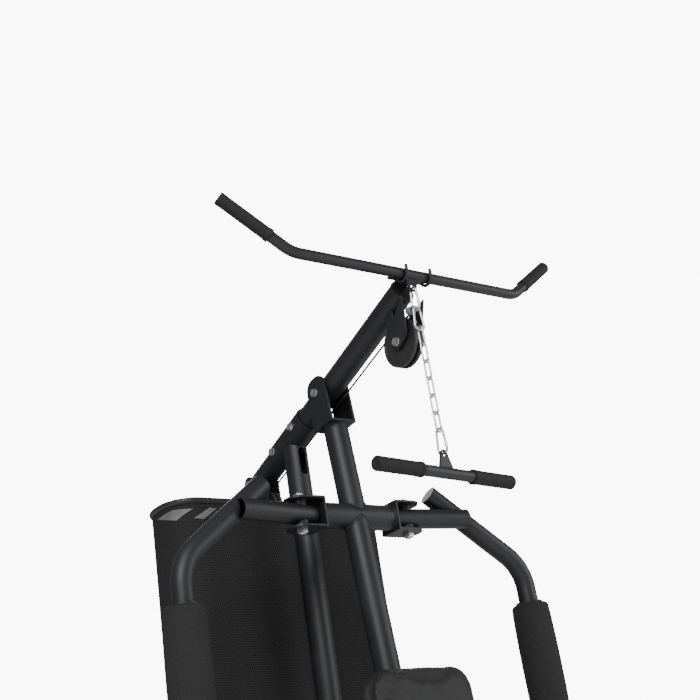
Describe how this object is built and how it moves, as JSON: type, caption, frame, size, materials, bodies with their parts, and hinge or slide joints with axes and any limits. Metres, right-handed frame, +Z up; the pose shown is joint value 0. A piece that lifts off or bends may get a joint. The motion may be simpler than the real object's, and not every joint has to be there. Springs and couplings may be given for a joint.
{
  "type": "multi station home gym",
  "caption": "Free-standing home gym with a lat pulldown boom, hanging chain and short bar, padded swinging arms, seat, backrest, leg lever and a caged weight stack.",
  "frame": {"origin": "on the floor, at the middle of the base", "axes": "+Z up, -Y the front that the user faces, +X to the right as seen from the front"},
  "size_m": [1.0586, 1.486, 2.2012],
  "materials": {
    "frame_black": "matte powder coat",
    "black_plastic": "matte",
    "rubber": "matte",
    "grip_rubber": "knurled foam rubber",
    "foam": "matte foam",
    "upholstery": "grained black vinyl",
    "zinc": "bright zinc",
    "steel_rod": "polished",
    "cast_weight": "painted, satin",
    "cable_black": "smooth sheath",
    "pulley_nylon": "satin nylon",
    "mesh": "open black mesh"
  },
  "bodies": {
    "frame": {"base_rail": "frame_black", "front_foot": "frame_black", "rear_foot": "frame_black", "rubber_feet": "rubber", "tube_caps": "black_plastic", "main_upright": "frame_black", "crossbeam": "frame_black", "clevis_left": "frame_black", "clevis_right": "frame_black", "hinge_bolts": "zinc", "hinge_washers": "black_plastic", "upper_post": "frame_black", "boom_saddle": "frame_black", "rear_post": "frame_black", "boom": "frame_black", "boom_tail": "frame_black", "boom_sleeve": "frame_black", "boom_bolts": "zinc", "hook_plate": "frame_black", "pulley_brackets": "frame_black", "pulley_bolts": "zinc", "lat_cable": "cable_black", "stack_tray": "frame_black", "guide_rods": "steel_rod", "stack_bumpers": "rubber", "weight_plates_fixed": "cast_weight", "rod_bridge": "frame_black", "stack_cover": "mesh", "cover_rim": "black_plastic", "seat_tube": "frame_black", "lever_bracket": "frame_black", "front_post": "frame_black", "upper_roller_axle": "frame_black", "seat_pad": "upholstery", "backrest_pad": "upholstery", "back_brackets": "frame_black"},
    "arm_left": {"arm_left": "frame_black", "arm_grip_left": "grip_rubber"},
    "arm_right": {"arm_right": "frame_black", "arm_grip_right": "grip_rubber"},
    "pad_left": {"arm_pad_left": "foam"},
    "pad_right": {"arm_pad_right": "foam"},
    "lat_bar": {"lat_bar": "frame_black", "lat_bar_grips": "grip_rubber", "upper_carabiner": "zinc", "cable_end": "rubber"},
    "pull_chain": {"chain_carabiners": "zinc", "chain": "zinc"},
    "short_bar": {"short_bar": "frame_black", "short_bar_grips": "grip_rubber"},
    "top_pulley": {"top_pulley": "pulley_nylon"},
    "guide_pulley": {"guide_pulley": "pulley_nylon"},
    "weight_carriage": {"weight_plates_lifted": "cast_weight", "head_plate": "cast_weight", "selector_stem": "steel_rod", "stack_cable": "cable_black"},
    "selector_pin": {"selector_pin": "steel_rod"},
    "leg_lever": {"leg_lever": "frame_black"},
    "lower_rollers": {"lower_rollers": "foam"},
    "upper_rollers": {"upper_rollers": "foam"}
  },
  "joints": [
    {"name": "arm_left_swing", "type": "hinge", "parent": "frame", "child": "arm_left", "pos_m": [-0.152, 0.145, 1.62], "axis": [0, 0, 1], "range_deg": [-12, 70]},
    {"name": "arm_right_swing", "type": "hinge", "parent": "frame", "child": "arm_right", "pos_m": [0.152, 0.145, 1.62], "axis": [0, 0, -1], "range_deg": [-12, 70]},
    {"name": "pad_left_spin", "type": "hinge", "parent": "arm_left", "child": "pad_left", "pos_m": [-0.48186, 0.12364, 1.27], "axis": [0, 0, 1], "continuous": true},
    {"name": "pad_right_spin", "type": "hinge", "parent": "arm_right", "child": "pad_right", "pos_m": [0.48186, 0.12364, 1.27], "axis": [0, 0, 1], "continuous": true},
    {"name": "lat_bar_lift", "type": "slide", "parent": "frame", "child": "lat_bar", "axis": [0, 0, 1], "range_m": [0, 0.038]},
    {"name": "chain_swing", "type": "hinge", "parent": "lat_bar", "child": "pull_chain", "pos_m": [-0.012, -0.212, 1.9919], "axis": [-1, 0, 0], "range_deg": [0, 20]},
    {"name": "short_bar_rock", "type": "hinge", "parent": "pull_chain", "child": "short_bar", "pos_m": [-0.012, -0.212, 1.6461], "axis": [0.1271, -0.9919, 0], "range_deg": [-20, 20]},
    {"name": "weight_lift", "type": "slide", "parent": "frame", "child": "weight_carriage", "axis": [0, 0, 1], "range_m": [0, 0.85], "deforming": ["stack_cable"]},
    {"name": "top_pulley_turn", "type": "hinge", "parent": "frame", "child": "top_pulley", "pos_m": [0, -0.135, 1.943], "axis": [1, 0, 0], "range_deg": [0, 1100]},
    {"name": "guide_pulley_turn", "type": "hinge", "parent": "frame", "child": "guide_pulley", "pos_m": [0, 0.495, 1.75], "axis": [1, 0, 0], "range_deg": [0, 1360]},
    {"name": "pin_pull", "type": "slide", "parent": "weight_carriage", "child": "selector_pin", "axis": [0, 1, 0], "range_m": [0, 0.085]},
    {"name": "leg_lever_swing", "type": "hinge", "parent": "frame", "child": "leg_lever", "pos_m": [0, -0.467, 0.4], "axis": [-1, 0, 0], "range_deg": [0, 85]},
    {"name": "lower_rollers_spin", "type": "hinge", "parent": "leg_lever", "child": "lower_rollers", "pos_m": [0, -0.467, 0.14], "axis": [1, 0, 0], "continuous": true},
    {"name": "upper_rollers_spin", "type": "hinge", "parent": "frame", "child": "upper_rollers", "pos_m": [0, -0.51, 0.458], "axis": [1, 0, 0], "continuous": true}
  ],
  "couplings": [
    {"joint": "top_pulley_turn", "follows": "weight_lift", "rad_per_m": 21.739},
    {"joint": "guide_pulley_turn", "follows": "weight_lift", "rad_per_m": 27.778}
  ]
}
